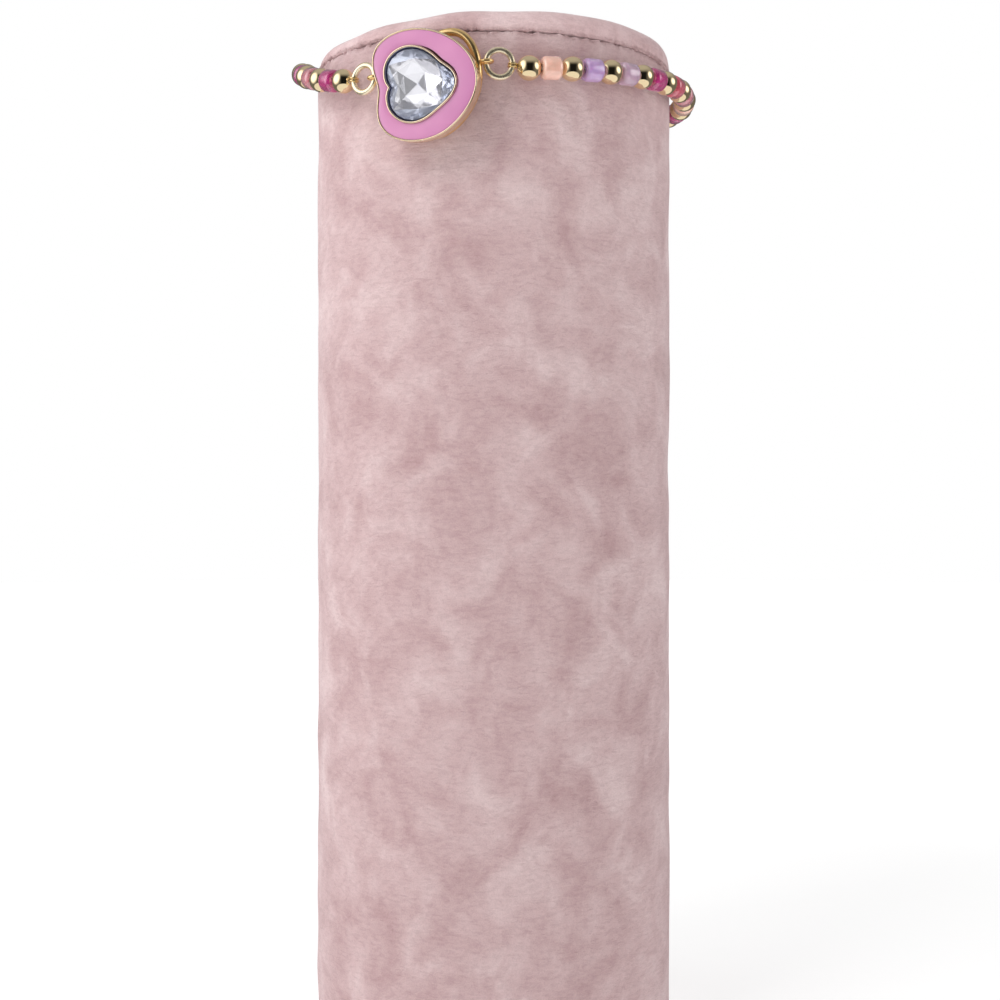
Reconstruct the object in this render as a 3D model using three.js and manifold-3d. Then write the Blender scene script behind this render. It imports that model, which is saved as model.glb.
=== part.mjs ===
// A child's stretch bracelet with a spinning heart charm, shown on a velvet display column.
// Millimetres, +Z up. The origin is the centre of the column's flat base. The charm faces -Y.
// A turn is an angle in degrees round the column, from -Y towards +X.
import * as THREE from "three";
import { mergeVertices } from "three/addons/utils/BufferGeometryUtils.js";
import Module from "manifold-3d";

const wasm = await Module();
wasm.setup();

// Display column: a roll wrapped in velvet, with a padded cap on its top.
const COLUMN_RADIUS = 24.5;
const SEAM_HEIGHT = 130;
const SEAM_GAP = 0.3;
const EDGE_ROUNDING = 0.9;
const CAP_THICKNESS = 3.2;
const CAP_CROWN = 0.4;
const CAP_INSET = 0.5;
const CAP_BELLY_HEIGHT = 1.2;
const CAP_SHOULDER = 2.5;
const COLUMN_SIDES = 58;
const EDGE_STEPS = 1;
const CAP_STEPS = 2;

// Bead run: an open loop of gold beads with a seed bead between each two, on one elastic.
const THREAD_RADIUS = 26.5;
const THREAD_THICKNESS = 0.7;
const LOOP_HEIGHT = 128.38;
// The loop leans and sags as it goes round: each row is one wave of its height.
const HEIGHT_WAVES = [
  { wave: 1, cos: -3.5, sin: -1.62 },
  { wave: 2, cos: -0.42, sin: 1.06 },
  { wave: 3, cos: 0.07, sin: 0.55 },
  { wave: 4, cos: 0.24, sin: -0.23 },
];
const FIRST_BEAD_TURN = 9.7;
const LAST_BEAD_TURN = 313.6;
const GOLD_BEADS = 26;
const GOLD_DIAMETER = 3.1;
const SEED_DIAMETER = 2.9;
const SEED_LENGTH = 2.32;
const SEED_SHOULDER = 0.45;
const BEADS_PER_STRETCH = 4;
const BEAD_AXIS_STEP = 0.5;
const BEAD_SIDES = 8;
const BEAD_ROWS = 6;
const THREAD_SIDES = 5;

// Charm: a heart that spins on a post through the hub of an open frame. In the charm's own
// axes X is to the right, Y is up and Z points out of the face; zero is on the post, at the
// middle of the frame's thickness. Turns are in degrees.
const CHARM_TURN = -17.3;
const CHARM_RADIUS = 26.1;
const CHARM_HEIGHT = 123.1;
const CHARM_TILT = 6;
const HEART_REST_TURN = 94;

// Outlines of the hearts, notch up: sums of waves across (sine) and along (cosine) the axis,
// raised by lift, with a narrow dip at the notch. One stretch of the right side may be pressed in
// by a share of its distance from the middle. Widths and pressAngle are in radians.
const FRAME_HEART = {
  across: [6.98, 0, 0, -0.17],
  along: [6.94, -0.33, -0.3, -0.4],
  lift: 0.36,
  dip: 0.28,
  dipWidth: 0.26,
  press: 0,
  pressAngle: 0,
  pressWidth: 1,
};
const TRAY_HEART = {
  ...FRAME_HEART,
  across: [6.92, 0, 0, -0.17],
  press: 0.043,
  pressAngle: 1.8,
  pressWidth: 0.7,
};
const STONE_HEART = {
  across: [4.06, -0.05, -0.16, -0.22],
  along: [4.32, -0.42, -0.07, -0.3],
  lift: 0.87,
  dip: 0.3,
  dipWidth: 0.2,
  press: 0.13,
  pressAngle: 2.64,
  pressWidth: 0.38,
};
const HEART_SIDES = 48;
const STONE_SIDES = 24;
const OUTLINE_STEP = 0.5;

// Frame behind the heart.
const FRAME_SCALE = 0.98;
const FRAME_LIFT = 0.3;
const FRAME_TURN = 3;
const FRAME_THICKNESS = 1.2;
const FRAME_BAND = 1.0;
const BAR_WIDTH = 1.5;
const BAR_THICKNESS = 0.8;
const HUB_DIAMETER = 3.6;
const HUB_RISE = 0.25;
const HUB_HOLE = 1.64;
const EYELET_REACH = 7.35;
const EYELET_LIFT = 1.7;
const EYELET_DEPTH = -0.3;
const EYELET_RADIUS = 0.74;
const EYELET_WIRE = 0.52;

// Heart setting and what it holds.
const TRAY_BACK = 1.0;
const TRAY_FLOOR = 1.9;
const POCKET_FLOOR = 1.6;
const RIM_TOP = 2.8;
const BEZEL_TOP = 2.95;
const RIM_WIDTH = 0.35;
const BEZEL_WIDTH = 0.3;
const POST_DIAMETER = 1.45;
const POST_END = -1.1;
const ENAMEL_GAP = 0.08;
const ENAMEL_TOP = 2.78;
const WASHER_DIAMETER = 2.9;
const WASHER_FRONT = -0.7;
const WASHER_HOLE = 1.65;
const STONE_GAP = 0.08;
// Heart crystal, from its foiled back up to its table: height and share of the outline.
const STONE_LEVELS = [
  { height: 1.75, share: 0.3 },
  { height: 2.62, share: 1 },
  { height: 2.8, share: 1 },
  { height: 3.55, share: 0.6 },
];

// Jump rings and the wire guards that carry the elastic round them.
const RING_HEIGHT = 4.15;
const RING_WIRE = 0.72;
const GUARD_RADIUS = 0.67;
const GUARD_WIRE = 0.4;
const GUARD_REACH = 2.52;
const RING_SIDES = 8;
const RING_STEPS = 24;
const SMALL_LOOP_STEPS = 16;

const PIN_SIDES = 20;
const JOIN_OVERLAP = 0.2;
const CUT_OVERRUN = 1;
const MERGE_DISTANCE = 1e-4;

const gold = new THREE.MeshStandardMaterial({ color: 0xe6c583, roughness: 0.15, metalness: 1 });
const enamel = new THREE.MeshStandardMaterial({ color: 0xdf92c8, roughness: 0.15, metalness: 0 });
const crystal = new THREE.MeshStandardMaterial({ color: 0xe4e8f0, roughness: 0.02, metalness: 0.1 });
const velvet = new THREE.MeshStandardMaterial({ color: 0xcdb0b5, roughness: 0.95, metalness: 0 });

const part = new THREE.Group();

const radians = THREE.MathUtils.degToRad;

function addMesh(parent, name, geometry, material) {
  const mesh = new THREE.Mesh(geometry, material);
  mesh.name = name;
  parent.add(mesh);
}

// The solid of a closed geometry.
function solidFrom(geometry) {
  const bare = geometry.clone();
  bare.deleteAttribute("normal");
  bare.deleteAttribute("uv");
  const merged = mergeVertices(bare, MERGE_DISTANCE);
  return new wasm.Manifold(
    new wasm.Mesh({
      numProp: 3,
      vertProperties: merged.attributes.position.array,
      triVerts: new Uint32Array(merged.index.array),
    }),
  );
}

function geometryFrom(solid) {
  const mesh = solid.getMesh();
  const geometry = new THREE.BufferGeometry();
  geometry.setAttribute("position", new THREE.BufferAttribute(mesh.vertProperties, 3));
  geometry.setIndex(new THREE.BufferAttribute(mesh.triVerts, 1));
  return geometry;
}

function joined(geometries) {
  return geometries.map(solidFrom).reduce((whole, piece) => whole.add(piece));
}

// The sum of a heart's waves at an angle, each amount on its own multiple of it.
function waveSum(amounts, wave, angle) {
  return amounts.reduce((sum, amount, i) => sum + amount * wave((i + 1) * angle), 0);
}

// One point of a heart outline: angle 0 is the notch and angle 180 the tip. Round pressAngle the
// outline is pressed in towards the middle, which flattens the heart's right side.
function heartPoint(heart, angle) {
  const fromNotch = Math.atan2(Math.sin(angle), Math.cos(angle));
  const dip = heart.dip * Math.exp(-((fromNotch / heart.dipWidth) ** 2));
  const away = (2 * (1 - Math.cos(angle - heart.pressAngle))) / heart.pressWidth ** 2;
  const share = 1 - heart.press * Math.exp(-away);
  const x = waveSum(heart.across, Math.sin, angle);
  const y = waveSum(heart.along, Math.cos, angle) - dip;
  return new THREE.Vector2(share * x, heart.lift + share * y);
}

// A closed heart outline, moved outwards by grow at right angles to itself.
function heartOutline(heart, grow = 0, scale = 1, sides = HEART_SIDES) {
  const step = radians(OUTLINE_STEP);
  return Array.from({ length: sides }, (_, i) => {
    const angle = (-2 * Math.PI * i) / sides;
    const ahead = heartPoint(heart, angle - step);
    const behind = heartPoint(heart, angle + step);
    const along = ahead.sub(behind).normalize();
    const outwards = new THREE.Vector2(along.y, -along.x);
    return heartPoint(heart, angle).multiplyScalar(scale).addScaledVector(outwards, grow);
  });
}

// A flat plate between two heights of the charm, with an outline and optional hole outlines.
function plate(outline, bottom, top, holes = []) {
  const shape = new THREE.Shape(outline);
  shape.holes = holes.map((hole) => new THREE.Path(hole));
  const geometry = new THREE.ExtrudeGeometry(shape, { depth: top - bottom, bevelEnabled: false });
  return geometry.translate(0, 0, bottom);
}

// A round pin along the charm's Z between two heights.
function pin(diameter, bottom, top) {
  const geometry = new THREE.CylinderGeometry(diameter / 2, diameter / 2, top - bottom, PIN_SIDES);
  return geometry.rotateX(Math.PI / 2).translate(0, 0, (bottom + top) / 2);
}

// ---- Display column

// A half profile from the axis out and back, turned about the column's axis.
function turned(profile, steps) {
  return new THREE.LatheGeometry(profile.getPoints(steps), COLUMN_SIDES).rotateX(Math.PI / 2);
}

function columnSleeve() {
  const corner = COLUMN_RADIUS - EDGE_ROUNDING;
  const profile = new THREE.Path();
  profile.moveTo(0, 0);
  profile.lineTo(corner, 0);
  profile.absarc(corner, EDGE_ROUNDING, EDGE_ROUNDING, -Math.PI / 2, 0);
  profile.absarc(corner, SEAM_HEIGHT - EDGE_ROUNDING, EDGE_ROUNDING, 0, Math.PI / 2);
  profile.lineTo(0, SEAM_HEIGHT);
  return turned(profile, EDGE_STEPS);
}

// The cap is a padded disc: its side swells above the seam, its shoulder is round and its top
// rises to a low crown.
function columnCap() {
  const bottom = SEAM_HEIGHT + SEAM_GAP;
  const belly = bottom + CAP_BELLY_HEIGHT;
  const top = SEAM_HEIGHT + CAP_THICKNESS;
  const wide = COLUMN_RADIUS - CAP_INSET / 2;
  const profile = new THREE.Path();
  profile.moveTo(0, bottom);
  profile.lineTo(wide - CAP_INSET, bottom);
  profile.quadraticCurveTo(wide, bottom, wide, belly);
  profile.absellipse(wide - CAP_SHOULDER, belly, CAP_SHOULDER, top - belly, 0, Math.PI / 2);
  profile.lineTo(0, top + CAP_CROWN);
  return turned(profile, CAP_STEPS);
}

addMesh(part, "column_sleeve", columnSleeve(), velvet);
addMesh(part, "column_cap", columnCap(), velvet);

// ---- Bead run

// The middle of the elastic at a turn round the column.
function threadPoint(turn) {
  const angle = radians(turn);
  const height = HEIGHT_WAVES.reduce(
    (sum, row) => sum + row.cos * Math.cos(row.wave * angle) + row.sin * Math.sin(row.wave * angle),
    LOOP_HEIGHT,
  );
  return new THREE.Vector3(THREAD_RADIUS * Math.sin(angle), -THREAD_RADIUS * Math.cos(angle), height);
}

const BEADS = 2 * GOLD_BEADS - 1;

// The turn of a bead: even beads are gold, and odd ones are seed beads.
function beadTurn(i) {
  return THREE.MathUtils.mapLinear(i, 0, BEADS - 1, FIRST_BEAD_TURN, LAST_BEAD_TURN);
}

// Places a geometry made round the Y axis between two points, with its middle half-way.
function placedAlong(geometry, from, to) {
  const along = to.clone().sub(from).normalize();
  const turned = new THREE.Quaternion().setFromUnitVectors(new THREE.Vector3(0, 1, 0), along);
  const middle = from.clone().lerp(to, 0.5);
  return geometry.applyQuaternion(turned).translate(middle.x, middle.y, middle.z);
}

function seedBead() {
  const half = SEED_LENGTH / 2;
  const radius = SEED_DIAMETER / 2;
  const profile = [
    new THREE.Vector2(0, -half),
    new THREE.Vector2(radius - SEED_SHOULDER, -half),
    new THREE.Vector2(radius, SEED_SHOULDER - half),
    new THREE.Vector2(radius, half - SEED_SHOULDER),
    new THREE.Vector2(radius - SEED_SHOULDER, half),
    new THREE.Vector2(0, half),
  ];
  return new THREE.LatheGeometry(profile, BEAD_SIDES);
}

function goldBead() {
  return new THREE.SphereGeometry(GOLD_DIAMETER / 2, BEAD_SIDES, BEAD_ROWS);
}

function bead(i) {
  const geometry = i % 2 ? seedBead() : goldBead();
  const before = threadPoint(beadTurn(i) - BEAD_AXIS_STEP);
  const after = threadPoint(beadTurn(i) + BEAD_AXIS_STEP);
  return placedAlong(geometry, before, after);
}

function threadBetween(i, j) {
  const from = threadPoint(beadTurn(i));
  const to = threadPoint(beadTurn(j));
  const radius = THREAD_THICKNESS / 2;
  const geometry = new THREE.CylinderGeometry(radius, radius, from.distanceTo(to), THREAD_SIDES);
  return placedAlong(geometry, from, to);
}

// A stretch of the run: its beads joined on their thread.
function beadStretch(first, last) {
  const pieces = [bead(first)];
  for (let i = first + 1; i <= last; i += 1) {
    pieces.push(threadBetween(i - 1, i));
    pieces.push(bead(i));
  }
  return geometryFrom(joined(pieces));
}

const STRETCHES = Math.floor(BEADS / BEADS_PER_STRETCH);
for (let s = 0; s < STRETCHES; s += 1) {
  const first = s * BEADS_PER_STRETCH;
  const last = s === STRETCHES - 1 ? BEADS - 1 : first + BEADS_PER_STRETCH - 1;
  addMesh(part, `bead_stretch_${String(s + 1).padStart(2, "0")}`, beadStretch(first, last), gold);
}

// ---- Charm

// The charm's axes: turned round the column, then tilted so that its face looks a little down.
function charmPlace() {
  const stand = new THREE.Matrix4().makeRotationX(Math.PI / 2);
  const turn = new THREE.Matrix4().makeRotationZ(radians(CHARM_TURN));
  const tilt = new THREE.Matrix4().makeRotationX(radians(CHARM_TILT));
  const outwards = new THREE.Vector3(0, -CHARM_RADIUS, CHARM_HEIGHT).applyMatrix4(turn);
  return turn.multiply(stand).multiply(tilt).setPosition(outwards);
}

const charm = new THREE.Group();
charm.applyMatrix4(charmPlace());
part.add(charm);

const frame = new THREE.Group();
frame.rotation.z = radians(FRAME_TURN);
charm.add(frame);

const spinner = new THREE.Group();
spinner.rotation.z = radians(HEART_REST_TURN);
charm.add(spinner);

// An eyelet's centre in the frame's axes: side is 1 to the right and -1 to the left.
function eyeletPlace(side) {
  return new THREE.Vector3(side * EYELET_REACH, EYELET_LIFT + FRAME_LIFT, EYELET_DEPTH);
}

function eyelet(side) {
  const loop = new THREE.TorusGeometry(EYELET_RADIUS, EYELET_WIRE / 2, RING_SIDES, SMALL_LOOP_STEPS);
  const place = eyeletPlace(side);
  return loop.rotateX(Math.PI / 2).translate(place.x, place.y, place.z);
}

// An open heart band with a bar and a hub across its back, and an eyelet at each side.
function spinnerFrame() {
  const half = FRAME_THICKNESS / 2;
  const outside = heartOutline(FRAME_HEART, 0, FRAME_SCALE);
  const inside = heartOutline(FRAME_HEART, -FRAME_BAND, FRAME_SCALE);
  const band = plate(outside, -half, half, [inside]).translate(0, FRAME_LIFT, 0);
  const barLength = 2 * (FRAME_HEART.across[0] * FRAME_SCALE - FRAME_BAND / 2);
  const bar = new THREE.BoxGeometry(barLength, BAR_WIDTH, BAR_THICKNESS);
  bar.translate(0, 0, BAR_THICKNESS / 2 - half);
  const hub = pin(HUB_DIAMETER, -half, half + HUB_RISE);
  const hole = solidFrom(pin(HUB_HOLE, -half - CUT_OVERRUN, half + CUT_OVERRUN));
  return geometryFrom(joined([band, bar, hub, eyelet(-1), eyelet(1)]).subtract(hole));
}

// A tray with a raised rim, an inner bezel round the stone's pocket, and the post behind.
function heartSetting() {
  const outside = heartOutline(TRAY_HEART);
  const rimInside = heartOutline(TRAY_HEART, -RIM_WIDTH);
  const bezelOutside = heartOutline(STONE_HEART, BEZEL_WIDTH + STONE_GAP);
  const pocket = heartOutline(STONE_HEART, STONE_GAP);
  const body = plate(outside, TRAY_BACK, TRAY_FLOOR);
  const rim = plate(outside, TRAY_FLOOR - JOIN_OVERLAP, RIM_TOP, [rimInside]);
  const bezel = plate(bezelOutside, TRAY_FLOOR - JOIN_OVERLAP, BEZEL_TOP);
  const post = pin(POST_DIAMETER, POST_END, TRAY_BACK + JOIN_OVERLAP);
  const hollow = solidFrom(plate(pocket, POCKET_FLOOR, BEZEL_TOP + CUT_OVERRUN));
  return geometryFrom(joined([body, rim, bezel, post]).subtract(hollow));
}

function enamelFill() {
  const outside = heartOutline(TRAY_HEART, -RIM_WIDTH - ENAMEL_GAP);
  const inside = heartOutline(STONE_HEART, BEZEL_WIDTH + STONE_GAP + ENAMEL_GAP);
  return plate(outside, TRAY_FLOOR + ENAMEL_GAP, ENAMEL_TOP, [inside]);
}

// The triangles that close an outline whose points are numbered from first.
function endFace(outline, first) {
  return THREE.ShapeUtils.triangulateShape(outline, []).map((face) => face.map((i) => i + first));
}

// The triangles of the wall between two outlines of the same number of points.
function wall(sides, low) {
  const high = low + sides;
  return Array.from({ length: sides }, (_, i) => {
    const next = (i + 1) % sides;
    return [low + i, low + next, high + next, low + i, high + next, high + i];
  });
}

// A closed stack of outlines of the same number of points, each at its own height.
function stacked(layers) {
  const sides = layers[0].outline.length;
  const last = layers.length - 1;
  const positions = layers.flatMap(({ outline, height }) => outline.flatMap(({ x, y }) => [x, y, height]));
  const walls = Array.from({ length: last }, (_, level) => wall(sides, level * sides));
  const bottom = endFace(layers[0].outline, 0).map((face) => face.reverse());
  const top = endFace(layers[last].outline, last * sides);
  const geometry = new THREE.BufferGeometry();
  geometry.setAttribute("position", new THREE.Float32BufferAttribute(positions, 3));
  geometry.setIndex([...walls, ...bottom, ...top].flat(2));
  return geometry;
}

function heartCrystal() {
  const girdle = heartOutline(STONE_HEART, 0, 1, STONE_SIDES);
  const middle = new THREE.Vector2(0, STONE_HEART.lift);
  const layers = STONE_LEVELS.map(({ height, share }) => ({
    height,
    outline: girdle.map((point) => middle.clone().lerp(point, share)),
  }));
  return stacked(layers);
}

function pivotWasher() {
  const disc = solidFrom(pin(WASHER_DIAMETER, POST_END, WASHER_FRONT));
  const hole = solidFrom(pin(WASHER_HOLE, POST_END - CUT_OVERRUN, WASHER_FRONT + CUT_OVERRUN));
  return geometryFrom(disc.subtract(hole));
}

addMesh(frame, "spinner_frame", spinnerFrame(), gold);
addMesh(spinner, "heart_setting", heartSetting(), gold);
addMesh(spinner, "enamel_fill", enamelFill(), enamel);
addMesh(spinner, "heart_crystal", heartCrystal(), crystal);
addMesh(spinner, "pivot_washer", pivotWasher(), gold);

// ---- Jump rings and wire guards

const frameToPart = charm.matrix.clone().multiply(new THREE.Matrix4().makeRotationZ(frame.rotation.z));

// A loop of wire laid in the plane of two axes, round a centre: its middle line reaches as far
// as the radius along the second axis, and further than that by stretch along the first.
function wireLoop(radius, stretch, wire, steps, axisX, axisY, centre) {
  const loop = new THREE.TorusGeometry(radius, wire / 2, RING_SIDES, steps);
  const { position } = loop.attributes;
  for (let i = 0; i < position.count; i += 1) {
    const angle = Math.atan2(position.getY(i), position.getX(i));
    position.setX(i, position.getX(i) + stretch * Math.cos(angle));
  }
  const axes = new THREE.Matrix4().makeBasis(axisX, axisY, axisX.clone().cross(axisY));
  return loop.applyMatrix4(axes.setPosition(centre));
}

// A ring hangs in the frame's eyelet, and its guard's loop goes round its far side. The ring is
// slightly oval: the pull of the elastic has made it as long as the room it spans.
function addLink(name, side, endBead) {
  const eyeletCentre = eyeletPlace(side).applyMatrix4(frameToPart);
  const beadCentre = threadPoint(beadTurn(endBead));
  const towardsBead = beadCentre.clone().sub(eyeletCentre).normalize();
  const ringFace = new THREE.Vector3(0, 0, 1).cross(towardsBead).normalize();
  const ringUp = ringFace.clone().cross(towardsBead);

  const guardCentre = beadCentre.clone().addScaledVector(towardsBead, -GUARD_REACH);
  const guardAxes = [towardsBead, ringFace, guardCentre];
  const guard = wireLoop(GUARD_RADIUS, 0, GUARD_WIRE, SMALL_LOOP_STEPS, ...guardAxes);

  const ringRadius = (RING_HEIGHT - RING_WIRE) / 2;
  const stretch = eyeletCentre.distanceTo(guardCentre) / 2 - ringRadius;
  const ringCentre = eyeletCentre.clone().lerp(guardCentre, 0.5);
  const ringAxes = [towardsBead, ringUp, ringCentre];
  const ring = wireLoop(ringRadius, stretch, RING_WIRE, RING_STEPS, ...ringAxes);

  addMesh(part, `jump_ring_${name}`, ring, gold);
  addMesh(part, `cord_guard_${name}`, guard, gold);
}

addLink("right", 1, 0);
addLink("left", -1, BEADS - 1);

export default part;
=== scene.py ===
"""A child's stretch bracelet with a spinning heart charm, shown on a velvet display column.

The sections follow the object as it is put together: the column and its cap, the elastic, the
beads, the rings and guards that join them to the charm, the charm's frame, and the spinning
heart with its enamel and its stone. The studio comes last. Lengths are in metres, +Z is up and
the charm faces -Y. A turn is an angle in degrees round the column, from -Y towards +X.
"""

import bmesh
import bpy
import numpy as np
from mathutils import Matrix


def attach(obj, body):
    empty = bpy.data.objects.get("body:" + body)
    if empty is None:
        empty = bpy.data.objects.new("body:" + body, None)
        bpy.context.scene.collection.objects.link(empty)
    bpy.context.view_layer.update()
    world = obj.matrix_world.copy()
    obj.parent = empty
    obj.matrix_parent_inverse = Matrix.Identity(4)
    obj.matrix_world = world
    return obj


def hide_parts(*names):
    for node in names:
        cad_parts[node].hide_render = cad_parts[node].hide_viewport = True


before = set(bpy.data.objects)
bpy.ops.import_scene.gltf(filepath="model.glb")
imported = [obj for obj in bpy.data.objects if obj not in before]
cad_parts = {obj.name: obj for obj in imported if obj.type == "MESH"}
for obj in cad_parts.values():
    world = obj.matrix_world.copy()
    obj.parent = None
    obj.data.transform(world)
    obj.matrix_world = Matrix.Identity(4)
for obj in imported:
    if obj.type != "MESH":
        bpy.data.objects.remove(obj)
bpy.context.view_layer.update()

MM = 0.001

# ---- Velvet sleeve
# The column is a card and foam roll wrapped in crushed velvet, with the pile outside. The velvet
# is glued round the roll and turned in at the top edge, where the cap closes it.

column_radius = 24.5 * MM
seam_height = 130 * MM
foot_rounding = 0.9 * MM
top_rounding = 0.35 * MM
sleeve_over_seam = 0.08 * MM
turned_in = 2 * MM
sleeve_columns = 480
sleeve_row_step = 0.9 * MM
sleeve_rim = 1 / 8
crush_depth = 0.16 * MM
crush_waves = 90
crush_softness = 0.7
drawn_in = 0.6
seam_ruffle = 0.14 * MM
ruffle_reach = 1 * MM
ruffle_lift = 0.6
ruffle_waves = 30


def quads_of(grid, wrap_rows):
    """The faces of a grid of points, (..., rows, columns, 3): one quad for each cell, counted
    for every copy in the leading dimensions. The columns join round, and so do the rows if
    wrap_rows. The face that shows is the one that (next column) x (next row) points out of."""
    rows, columns = grid.shape[-3:-1]
    copies = grid.size // (3 * rows * columns)
    corner = np.arange(copies * rows * columns).reshape(copies, rows, columns)
    low = corner if wrap_rows else corner[:, :-1]
    high = np.roll(corner, -1, axis=1) if wrap_rows else corner[:, 1:]
    beside = [np.roll(side, -1, axis=2) for side in (low, high)]
    return np.stack([low, beside[0], beside[1], high], axis=-1).reshape(-1, 4)


def skin(name, materials, *shells, sharp=40, finish=None):
    """A piece made of closed shells. A shell is (grid, wrap_rows) as quads_of takes them; where
    its rows don't wrap, its first and last row are each one point repeated, and are merged.
    Edges bent by more than sharp degrees stay crisp. finish is as in mesh_piece."""
    points, faces, count = [], [], 0
    for grid, wrap_rows in shells:
        points.append(grid.reshape(-1, 3))
        faces.append(quads_of(grid, wrap_rows) + count)
        count += len(points[-1])
    return mesh_piece(name, materials, chained(*points), chained(*faces), sharp, finish)


def mesh_piece(name, materials, points, faces, sharp=40, finish=None):
    """An object at the origin from points, (n, 3), and faces, (m, corners), seen anticlockwise.
    finish gives each face the number of its material."""
    mesh = bpy.data.meshes.new(name)
    mesh.vertices.add(len(points))
    mesh.vertices.foreach_set("co", np.asarray(points, np.float32).ravel())
    mesh.loops.add(faces.size)
    mesh.loops.foreach_set("vertex_index", faces.astype(np.int32).ravel())
    mesh.polygons.add(len(faces))
    starts = np.arange(0, faces.size, faces.shape[1], dtype=np.int32)
    mesh.polygons.foreach_set("loop_start", starts)
    if finish is not None:
        mesh.polygons.foreach_set("material_index", finish.astype(np.int32))
    mesh.update(calc_edges=True)
    work = bmesh.new()
    work.from_mesh(mesh)
    bmesh.ops.remove_doubles(work, verts=work.verts, dist=1e-4 * MM)
    work.to_mesh(mesh)
    work.free()
    mesh.shade_smooth()
    mesh.set_sharp_from_angle(angle=np.radians(sharp))
    for material in materials:
        mesh.materials.append(material)
    made = bpy.data.objects.new(name, mesh)
    bpy.context.collection.objects.link(made)
    return made


def chained(*parts):
    """The rows of several profiles, grids or lists of points, one after another."""
    return np.concatenate(parts)


def around(columns):
    """Angles of the columns round an axis, anticlockwise from above, from -Y."""
    return np.arange(columns) * 2 * np.pi / columns


def turned(radius, height, columns):
    """A profile turned about Z: radius and height are (rows, 1) or (rows, columns)."""
    angle = around(columns)
    return np.stack([radius * np.sin(angle), -radius * np.cos(angle), height + 0 * angle], -1)


def arc(centre_out, centre_up, radius, start, stop, steps=4):
    """Profile points on an arc: (distance out, height), from the start to the stop angle in
    degrees, where 0 points outwards and 90 up. radius may be one number or (out, up)."""
    angle = np.radians(np.linspace(start, stop, steps + 1))
    out, up = np.broadcast_to(radius, 2)
    return np.stack([centre_out + out * np.cos(angle), centre_up + up * np.sin(angle)], axis=-1)


def crush(angle, height, seed, finest):
    """Soft dents of crushed cloth, from -1 to 1: a sum of waves of random lean and phase, each
    a whole number of times round the column, the long ones deeper than the short ones."""
    draw = np.random.default_rng(seed)
    around_count = draw.integers(-finest, finest + 1, crush_waves)
    along_count = draw.normal(0, finest / 2, crush_waves) / column_radius
    phase = draw.uniform(0, 2 * np.pi, crush_waves)
    length = np.hypot(around_count, along_count * column_radius) + 4
    total = 0
    for m, q, p, weight in zip(around_count, along_count, phase, 1 / length):
        total = total + weight * np.cos(m * angle + q * height + p)
    return total / np.sqrt(np.sum(1 / length**2) / 2) / 2


def ruffle(angle, seed):
    """The unevenness of a glued or sewn edge round the column, from about -1 to 1."""
    draw = np.random.default_rng(seed)
    counts = draw.integers(20, 160, ruffle_waves)
    phases = draw.uniform(0, 2 * np.pi, ruffle_waves)
    total = sum(np.cos(m * angle + p) for m, p in zip(counts, phases))
    return total / np.sqrt(2 * ruffle_waves)


def add_node(material, kind, values=None, **options):
    """A node of a kind in a material, with some options chosen and some sockets set."""
    made = material.node_tree.nodes.new(kind)
    for option, choice in options.items():
        setattr(made, option, choice)
    for socket, value in (values or {}).items():
        made.inputs[socket].default_value = value
    return made


def join(material, source, target):
    """Links an output socket to an input socket of the material."""
    material.node_tree.links.new(source, target)


def new_material(name, sockets):
    """A material whose Principled shader has these sockets set."""
    material = bpy.data.materials.new(name)
    material.use_nodes = True
    for socket, value in sockets.items():
        material.node_tree.nodes["Principled BSDF"].inputs[socket].default_value = value
    return material


def feed(material, source, socket):
    """Links an output socket to an input of the material's Principled shader."""
    join(material, source, material.node_tree.nodes["Principled BSDF"].inputs[socket])


def object_noise(material, per_mm, detail=2.0, roughness=0.5, distortion=0.0, stretch=(1, 1, 1)):
    """Noise with about per_mm features to a millimetre, in the object's own coordinates; gives
    its factor output."""
    place = add_node(material, "ShaderNodeTexCoord")
    scale = add_node(material, "ShaderNodeMapping", {"Scale": stretch})
    noise = add_node(
        material,
        "ShaderNodeTexNoise",
        {"Scale": per_mm / MM, "Detail": detail, "Roughness": roughness, "Distortion": distortion},
    )
    join(material, place.outputs["Object"], scale.inputs["Vector"])
    join(material, scale.outputs["Vector"], noise.inputs["Vector"])
    return noise.outputs["Fac"]


def colour_ramp(material, factor, stops):
    """A ramp from (place, colour) stops, driven by a factor output; gives its colour output."""
    ramp = add_node(material, "ShaderNodeValToRGB")
    elements = ramp.color_ramp.elements
    for _ in stops[2:]:
        elements.new(0.5)
    for element, (place, colour) in zip(elements, stops):
        element.position = place
        element.color = (*colour, 1)
    join(material, factor, ramp.inputs["Fac"])
    return ramp.outputs["Color"]


def multiplied(material, first, second):
    """The product of two colour outputs."""
    mix = add_node(material, "ShaderNodeMix", data_type="RGBA", blend_type="MULTIPLY")
    mix.inputs["Factor"].default_value = 1.0
    join(material, first, mix.inputs["A"])
    join(material, second, mix.inputs["B"])
    return mix.outputs["Result"]


def ranged(material, source, span, result, **options):
    """An output brought from one span of values, (low, high), to another, its result."""
    values = dict(zip(("From Min", "From Max", "To Min", "To Max"), (*span, *result)))
    made = add_node(material, "ShaderNodeMapRange", values, **options)
    join(material, source, made.inputs["Value"])
    return made.outputs["Result"]


def bump(material, height, distance, strength, under=None):
    """Raises the surface by a height output; distance is the height of 1, in metres."""
    made = add_node(material, "ShaderNodeBump", {"Distance": distance, "Strength": strength})
    join(material, height, made.inputs["Height"])
    if under is not None:
        join(material, under.outputs["Normal"], made.inputs["Normal"])
    feed(material, made.outputs["Normal"], "Normal")
    return made


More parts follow.
